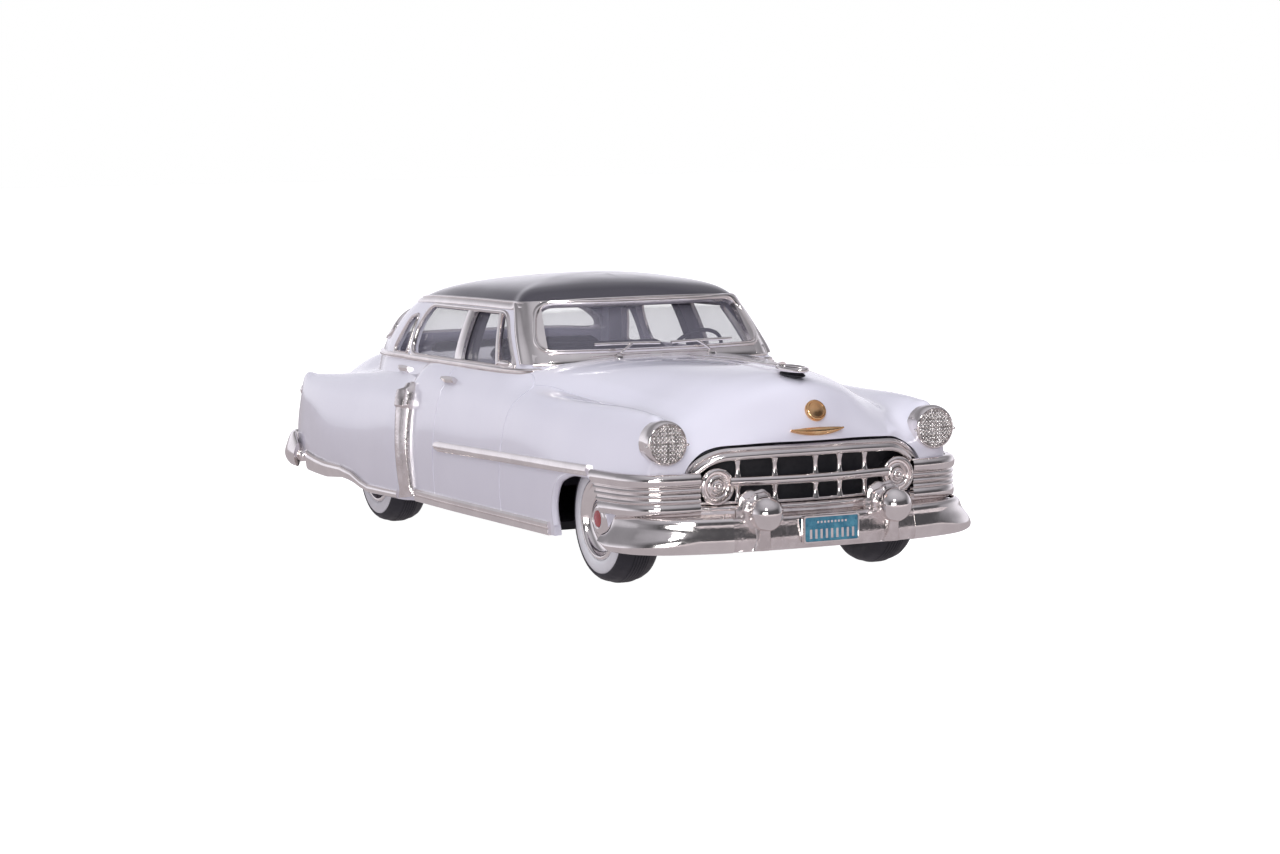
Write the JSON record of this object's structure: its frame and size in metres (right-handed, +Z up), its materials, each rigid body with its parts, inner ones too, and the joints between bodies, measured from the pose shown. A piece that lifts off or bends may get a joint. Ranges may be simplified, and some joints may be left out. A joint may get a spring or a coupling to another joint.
{
  "type": "diecast collector car",
  "caption": "Small diecast display model of an early-1950s two-tone saloon car with plated trim, rolling on two turning axles.",
  "frame": {"origin": "middle of the car on the surface it stands on", "axes": "+Z up, -Y towards the front bumper, +X towards the left side"},
  "size_m": [0.0494, 0.1332, 0.0357],
  "materials": {
    "body_paint": "high gloss white enamel on the body, black gloss enamel on the roof above the drip rail",
    "plated": "bright nickel plating, slightly grainy from the casting",
    "tyre": "matt black rubber",
    "whitewall": "satin white",
    "glazing": "clear moulded plastic with a faint grey tint",
    "interior": "satin dark grey paint",
    "backing": "matt black",
    "base": "satin black enamel",
    "steel": "turned steel",
    "gold": "polished gilt",
    "plate": "blue enamel in a raised plated border",
    "red_lens": "clear red lacquer"
  },
  "bodies": {
    "body": {"base_screw_front": "steel", "base_screw_rear": "steel", "baseplate": "base", "body_shell": "body_paint", "dashboard": "interior", "door_handle_front_left": "plated", "door_handle_front_right": "plated", "door_handle_rear_left": "plated", "door_handle_rear_right": "plated", "front_bumper": "plated", "front_plate": "plate", "front_seat": "interior", "gravel_guard_left": "plated", "gravel_guard_right": "plated", "grille": "plated", "grille_backing": "backing", "headlamp_left": "plated", "headlamp_right": "plated", "hood_medallion": "gold", "hood_ornament": "plated", "interior_tub": "interior", "parking_lamp_left": "plated", "parking_lamp_right": "plated", "rear_bumper": "plated", "rear_seat": "interior", "rear_window_glass": "glazing", "rocker_moulding_left": "plated", "rocker_moulding_right": "plated", "side_glazing_left": "glazing", "side_glazing_right": "glazing", "side_spear_left": "plated", "side_spear_right": "plated", "side_window_frame_left": "plated", "side_window_frame_right": "plated", "skirt_trim_left": "plated", "skirt_trim_right": "plated", "steering_wheel": "interior", "tail_lamp_left": "red_lens", "tail_lamp_right": "red_lens", "windscreen_frame": "plated", "windscreen_glass": "glazing", "wiper_left": "plated", "wiper_right": "plated", "wrap_trim_left": "plated", "wrap_trim_right": "plated"},
    "front_wheels": {"front_axle": "steel", "front_tyre_left": "tyre", "front_tyre_right": "tyre", "front_wheel_disc_left": "plated", "front_wheel_disc_right": "plated", "front_whitewall_left": "whitewall", "front_whitewall_right": "whitewall"},
    "rear_wheels": {"rear_axle": "steel", "rear_tyre_left": "tyre", "rear_tyre_right": "tyre", "rear_wheel_disc_left": "plated", "rear_wheel_disc_right": "plated", "rear_whitewall_left": "whitewall", "rear_whitewall_right": "whitewall"}
  },
  "joints": [
    {"name": "front_axle_spin", "type": "hinge", "parent": "body", "child": "front_wheels", "pos_m": [0, -0.0432, 0.0079], "axis": [1, 0, 0], "continuous": true},
    {"name": "rear_axle_spin", "type": "hinge", "parent": "body", "child": "rear_wheels", "pos_m": [0, 0.0316, 0.0079], "axis": [1, 0, 0], "continuous": true}
  ]
}
